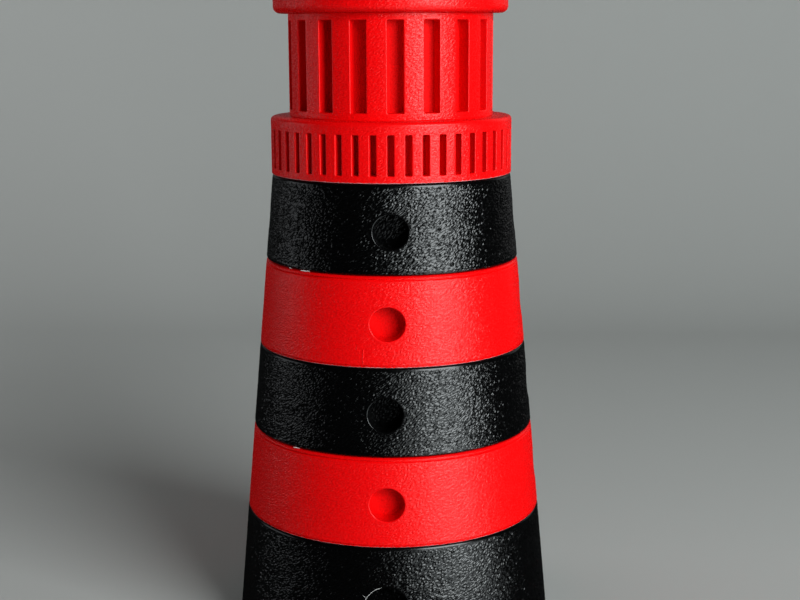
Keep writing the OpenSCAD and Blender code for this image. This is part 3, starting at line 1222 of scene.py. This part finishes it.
def backdrop():
    """Floor that curves up into a wall behind the object."""
    bend_y = STAGE_BACK - STAGE_BEND
    line = [(STAGE_FRONT, 0.0), (bend_y, 0.0)]
    for a in np.radians(np.linspace(0, 90, BEND_POINTS)):
        line.append((bend_y + STAGE_BEND * math.sin(a), STAGE_BEND - STAGE_BEND * math.cos(a)))
    line += [(STAGE_BACK, STAGE_H)]
    points = [(x, y, z) for y, z in line for x in (-STAGE_HALF, STAGE_HALF)]
    faces = [(2 * k, 2 * k + 1, 2 * k + 3, 2 * k + 2) for k in range(len(line) - 1)]
    mesh = bpy.data.meshes.new("backdrop")
    mesh.from_pydata(points, [], faces)
    mesh.polygons.foreach_set("use_smooth", np.ones(len(faces), bool))
    mesh.materials.append(stage_material("floor", STAGE_COLOUR, STAGE_BOUNCED, FLOOR_REFLECTED))
    mesh.materials.append(stage_material("wall", STAGE_COLOUR, STAGE_BOUNCED, WALL_REFLECTED))
    mesh.polygons.foreach_set("material_index", (np.arange(len(faces)) >= FLOOR_FACES).astype(np.int32))
    floor = bpy.data.objects.new("backdrop", mesh)
    bpy.context.scene.collection.objects.link(floor)


def lamp(name, azimuth, elevation, distance, size, power, colour, lights=True, mirrored=True):
    """Soft lamp aimed at the tower. Azimuth 0 is at the camera, and grows to the viewer's right."""
    data = bpy.data.lights.new(name, "AREA")
    data.shape = "RECTANGLE"
    data.size, data.size_y = size
    data.energy = power
    data.color = colour
    a, e = math.radians(azimuth + VIEW_TURN), math.radians(elevation)
    away = Vector((math.sin(a) * math.cos(e), -math.cos(a) * math.cos(e), math.sin(e)))
    light = bpy.data.objects.new(name, data)
    light.location = Vector((0, 0, LAMP_AIM)) + away * distance
    light.rotation_mode = "QUATERNION"
    light.rotation_quaternion = away.to_track_quat("Z", "Y")
    light.visible_camera = False
    light.visible_diffuse = lights
    light.visible_glossy = mirrored
    bpy.context.scene.collection.objects.link(light)
    return light


def sheen(name, distance, size, power):
    """Lamp that lies on the floor below the key lamp and shows only in mirror reflections."""
    light = lamp(name, KEY_TURN, 0, distance, size, power, (0.9, 0.985, 1.0), lights=False)
    light.location.z = SHEEN_Z
    turn = Quaternion((0, 0, 1), math.radians(KEY_TURN + VIEW_TURN))
    light.rotation_quaternion = turn @ Quaternion((1, 0, 0), math.pi)


def camera():
    """Camera at the photo's angle."""
    data = bpy.data.cameras.new("camera")
    data.lens = CAMERA_LENS
    data.sensor_width = SENSOR_W
    view = bpy.data.objects.new("camera", data)
    turn = Matrix.Rotation(math.radians(VIEW_TURN), 3, "Z")
    view.location = turn @ Vector((CAMERA_SIDE, -CAMERA_BACK, GALLERY_Z * MM + CAMERA_ABOVE_GALLERY))
    pitch = math.radians(CAMERA_PITCH)
    look = turn @ Vector((0, math.cos(pitch), -math.sin(pitch)))
    view.rotation_mode = "QUATERNION"
    roll = Quaternion((0, 0, 1), math.radians(CAMERA_ROLL))
    view.rotation_quaternion = look.to_track_quat("-Z", "Y") @ roll
    bpy.context.scene.collection.objects.link(view)
    bpy.context.scene.camera = view


def surroundings():
    """Faint light from all round, and a plain pale colour where the camera sees past the backdrop."""
    world = bpy.data.worlds.new("world")
    world.use_nodes = True
    nodes, links = world.node_tree.nodes, world.node_tree.links
    faint, pale = nodes["Background"], nodes.new("ShaderNodeBackground")
    faint.inputs["Color"].default_value = (*WORLD_COLOUR, 1)
    faint.inputs["Strength"].default_value = WORLD_STRENGTH
    pale.inputs["Color"].default_value = (*PAST_BACKDROP, 1)
    path, pick = nodes.new("ShaderNodeLightPath"), nodes.new("ShaderNodeMixShader")
    links.new(path.outputs["Is Camera Ray"], pick.inputs["Fac"])
    links.new(faint.outputs["Background"], pick.inputs[1])
    links.new(pale.outputs["Background"], pick.inputs[2])
    links.new(pick.outputs["Shader"], nodes["World Output"].inputs["Surface"])
    bpy.context.scene.world = world


backdrop()
lamp(
    "key", KEY_TURN, elevation=17, distance=2.0, size=(1.2, 1.3), power=63,
    colour=(0.92, 0.985, 1.0),
)
lamp(
    "left", -97, elevation=-1, distance=1.6, size=(1.0, 0.8), power=2.2,
    colour=(0.92, 0.96, 1.0),
)
lamp(
    "fill", -115, elevation=10, distance=2.0, size=(1.4, 1.4), power=13.5,
    colour=(0.95, 0.98, 1.0), mirrored=False,
)
lamp(
    "edge", 140, elevation=8, distance=1.8, size=(1.2, 1.6), power=1.5,
    colour=(1.0, 1.0, 1.0), lights=False,
)
sheen("sheen", distance=1.13, size=(0.75, 1.4), power=13.5)
sheen("near_sheen", distance=0.3, size=(0.2, 0.29), power=0.4)
camera()
surroundings()
bpy.context.scene.view_settings.view_transform = "Standard"
